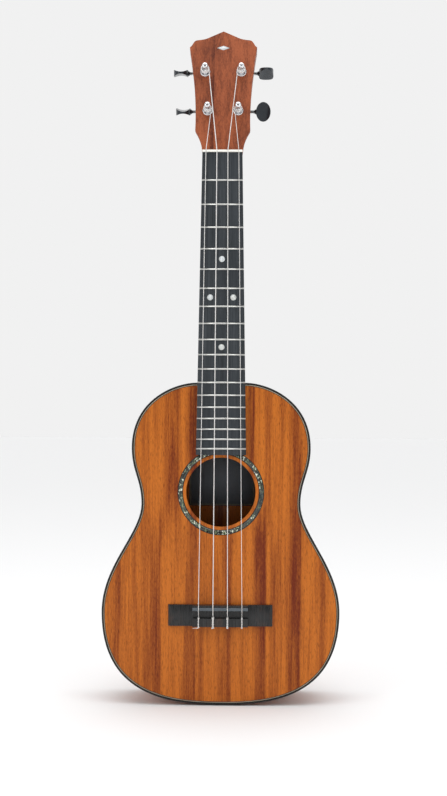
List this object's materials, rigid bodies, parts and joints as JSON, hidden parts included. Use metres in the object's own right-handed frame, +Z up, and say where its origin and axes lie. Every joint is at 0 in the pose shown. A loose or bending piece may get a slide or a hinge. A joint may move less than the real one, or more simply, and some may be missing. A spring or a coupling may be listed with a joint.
{
  "type": "tenor ukulele",
  "caption": "Hollow wooden ukulele with a fretted neck, tie bridge, nylon strings and open-geared worm tuners on a slanted headstock.",
  "frame": {"origin": "on the centre line at the nut, in the plane of the soundboard's face: the place where a hanger's yoke holds the neck under the headstock", "axes": "+Z up the neck, -Y out of the soundboard, +X towards the treble side (the viewer's right)"},
  "size_m": [0.2286, 0.0836, 0.651],
  "materials": {
    "top_wood": "satin lacquered mahogany, ribbon figured",
    "body_wood": "satin lacquered mahogany",
    "neck_wood": "satin mahogany",
    "inner_wood": "unfinished spruce",
    "binding": "polished black plastic",
    "pale_line": "polished pale plastic line",
    "shell": "pearly shell pattern",
    "label_paper": "printed paper, dark with a pale border",
    "board_wood": "oiled blackened hardwood",
    "bridge_wood": "oiled blackened hardwood",
    "fret_metal": "polished nickel silver",
    "nut_bone": "polished bone-white plastic",
    "saddle_plastic": "polished black plastic",
    "nylon": "clear nylon",
    "tuner_metal": "polished chrome plate",
    "gear_metal": "cut brass",
    "button_plastic": "polished black plastic"
  },
  "bodies": {
    "root": {"top": "top_wood", "back": "body_wood", "side_bass": "body_wood", "side_treble": "body_wood", "neck": "neck_wood", "headstock": "neck_wood", "headstock_veneer": "neck_wood", "neck_block": "inner_wood", "tail_block": "inner_wood", "linings_top": "inner_wood", "linings_back": "inner_wood", "top_transverse_braces": "inner_wood", "top_fan_braces": "inner_wood", "bridge_plate": "inner_wood", "back_braces": "inner_wood", "binding_top": "binding", "binding_back": "binding", "purfling_dark": "binding", "heel_cap": "binding", "rosette_borders": "binding", "purfling_pale": "pale_line", "rosette_shell": "shell", "position_dots": "shell", "headstock_inlay": "shell", "label": "label_paper", "fingerboard": "board_wood", "bridge": "bridge_wood", "frets": "fret_metal", "nut": "nut_bone", "saddle": "saddle_plastic", "string_g": "nylon", "string_c": "nylon", "string_e": "nylon", "string_a": "nylon", "tuner_plates": "tuner_metal", "tuner_plate_screws": "tuner_metal", "tuner_bushings": "tuner_metal"},
    "post_body_g": {"post_g": "tuner_metal", "gear_g": "gear_metal", "gear_screw_g": "tuner_metal"},
    "key_body_g": {"worm_g": "tuner_metal", "button_g": "button_plastic"},
    "post_body_c": {"post_c": "tuner_metal", "gear_c": "gear_metal", "gear_screw_c": "tuner_metal"},
    "key_body_c": {"worm_c": "tuner_metal", "button_c": "button_plastic"},
    "post_body_e": {"post_e": "tuner_metal", "gear_e": "gear_metal", "gear_screw_e": "tuner_metal"},
    "key_body_e": {"worm_e": "tuner_metal", "button_e": "button_plastic"},
    "post_body_a": {"post_a": "tuner_metal", "gear_a": "gear_metal", "gear_screw_a": "tuner_metal"},
    "key_body_a": {"worm_a": "tuner_metal", "button_a": "button_plastic"}
  },
  "joints": [
    {"name": "key_turn_g", "type": "hinge", "parent": "root", "child": "key_body_g", "pos_m": [-0.0146, 0.03112, 0.04947], "axis": [1, 0, 0], "continuous": true},
    {"name": "post_turn_g", "type": "hinge", "parent": "root", "child": "post_body_g", "pos_m": [-0.0146, 0.01042, 0.04511], "axis": [0, 0.9744, -0.225], "continuous": true},
    {"name": "key_turn_c", "type": "hinge", "parent": "root", "child": "key_body_c", "pos_m": [-0.0174, 0.04026, 0.08903], "axis": [1, 0, 0], "continuous": true},
    {"name": "post_turn_c", "type": "hinge", "parent": "root", "child": "post_body_c", "pos_m": [-0.0174, 0.01955, 0.08467], "axis": [0, 0.9744, -0.225], "continuous": true},
    {"name": "key_turn_e", "type": "hinge", "parent": "root", "child": "key_body_e", "pos_m": [0.0174, 0.04026, 0.08903], "axis": [1, 0, 0], "continuous": true},
    {"name": "post_turn_e", "type": "hinge", "parent": "root", "child": "post_body_e", "pos_m": [0.0174, 0.01955, 0.08467], "axis": [0, 0.9744, -0.225], "continuous": true},
    {"name": "key_turn_a", "type": "hinge", "parent": "root", "child": "key_body_a", "pos_m": [0.0146, 0.03112, 0.04947], "axis": [1, 0, 0], "continuous": true},
    {"name": "post_turn_a", "type": "hinge", "parent": "root", "child": "post_body_a", "pos_m": [0.0146, 0.01042, 0.04511], "axis": [0, 0.9744, -0.225], "continuous": true}
  ],
  "couplings": [
    {"joint": "post_turn_g", "follows": "key_turn_g", "ratio": 0.071429},
    {"joint": "post_turn_c", "follows": "key_turn_c", "ratio": 0.071429},
    {"joint": "post_turn_e", "follows": "key_turn_e", "ratio": -0.071429},
    {"joint": "post_turn_a", "follows": "key_turn_a", "ratio": -0.071429}
  ]
}
